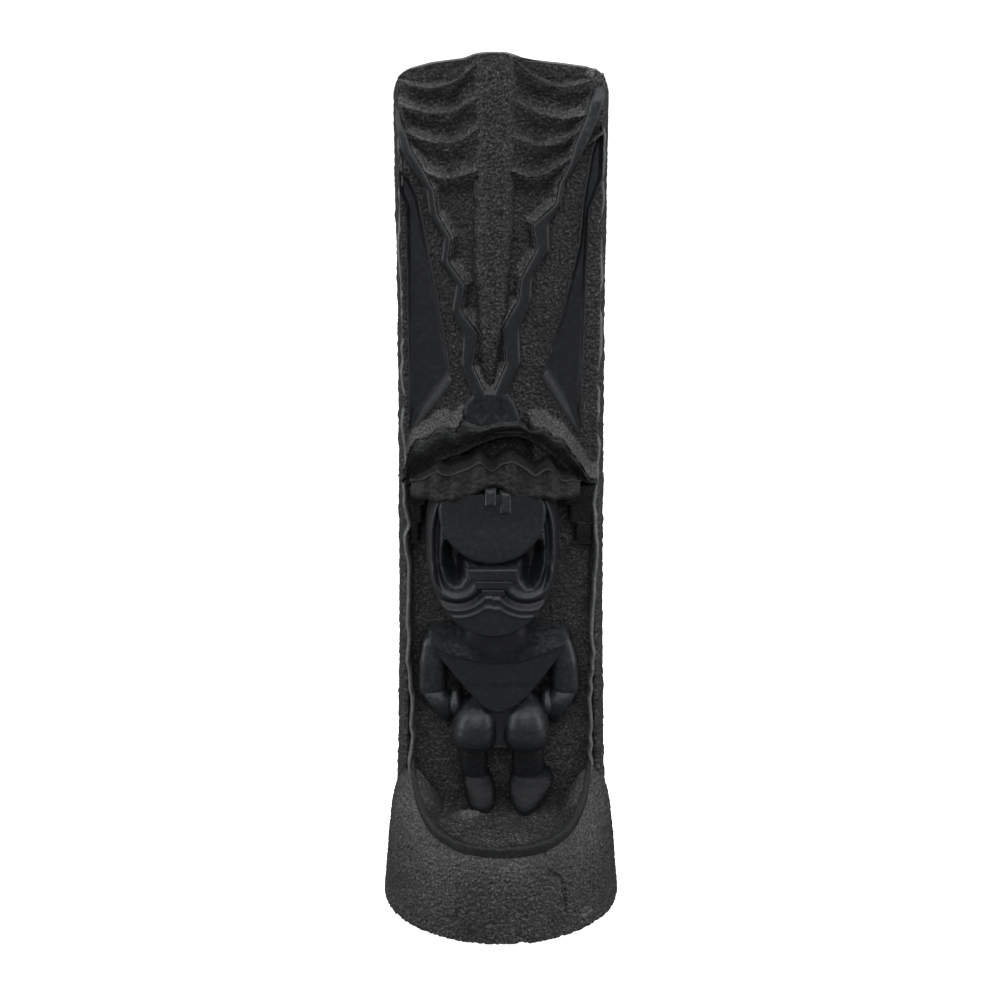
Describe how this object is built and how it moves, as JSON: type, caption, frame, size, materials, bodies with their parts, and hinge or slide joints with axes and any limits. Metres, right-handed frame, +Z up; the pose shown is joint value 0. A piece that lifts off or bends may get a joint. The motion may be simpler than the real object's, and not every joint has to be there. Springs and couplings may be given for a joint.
{
  "type": "tiki figure",
  "caption": "Standing tiki figure carved in the niche of a tall column with a feathered headdress, on a rough rock base.",
  "frame": {"origin": "centre of the base, on the face the object rests on", "axes": "+Z up along the column, -Y towards the viewer of the carved front, +X to that viewer's right"},
  "size_m": [0.0668, 0.056, 0.2296],
  "materials": {
    "cast_smooth": "crushed lava stone in resin, cast, satin where the mould was smooth",
    "cast_rough": "the same casting with a pitted lava texture, dusty in the pits",
    "felt": "thin glued felt, dark green"
  },
  "bodies": {
    "root": {"base_rock": "cast_rough", "border_knot": "cast_smooth", "chin": "cast_smooth", "column_back": "cast_rough", "face": "cast_smooth", "felt_pad": "felt", "forehead": "cast_smooth", "headdress_ground": "cast_rough", "hips": "cast_smooth", "left_calf": "cast_smooth", "left_dagger_panel": "cast_smooth", "left_eye_rim": "cast_smooth", "left_feather_1": "cast_rough", "left_feather_2": "cast_rough", "left_feather_3": "cast_rough", "left_feather_4": "cast_rough", "left_foot": "cast_smooth", "left_forearm": "cast_smooth", "left_forelock": "cast_smooth", "left_hair_lock": "cast_smooth", "left_hand": "cast_smooth", "left_niche_wall": "cast_rough", "left_rock_shoulder": "cast_rough", "left_thigh": "cast_smooth", "left_upper_arm": "cast_smooth", "left_zigzag_border": "cast_smooth", "lower_headband": "cast_smooth", "lower_lip_fold": "cast_smooth", "midrib": "cast_rough", "neck": "cast_smooth", "nose_bar": "cast_smooth", "platform": "cast_rough", "right_calf": "cast_smooth", "right_dagger_panel": "cast_smooth", "right_eye_rim": "cast_smooth", "right_feather_1": "cast_rough", "right_feather_2": "cast_rough", "right_feather_3": "cast_rough", "right_feather_4": "cast_rough", "right_foot": "cast_smooth", "right_forearm": "cast_smooth", "right_forelock": "cast_smooth", "right_hair_lock": "cast_smooth", "right_hand": "cast_smooth", "right_niche_wall": "cast_rough", "right_rock_shoulder": "cast_rough", "right_thigh": "cast_smooth", "right_upper_arm": "cast_smooth", "right_zigzag_border": "cast_smooth", "torso": "cast_smooth", "upper_headband": "cast_smooth", "upper_lip_fold": "cast_smooth"}
  },
  "joints": []
}
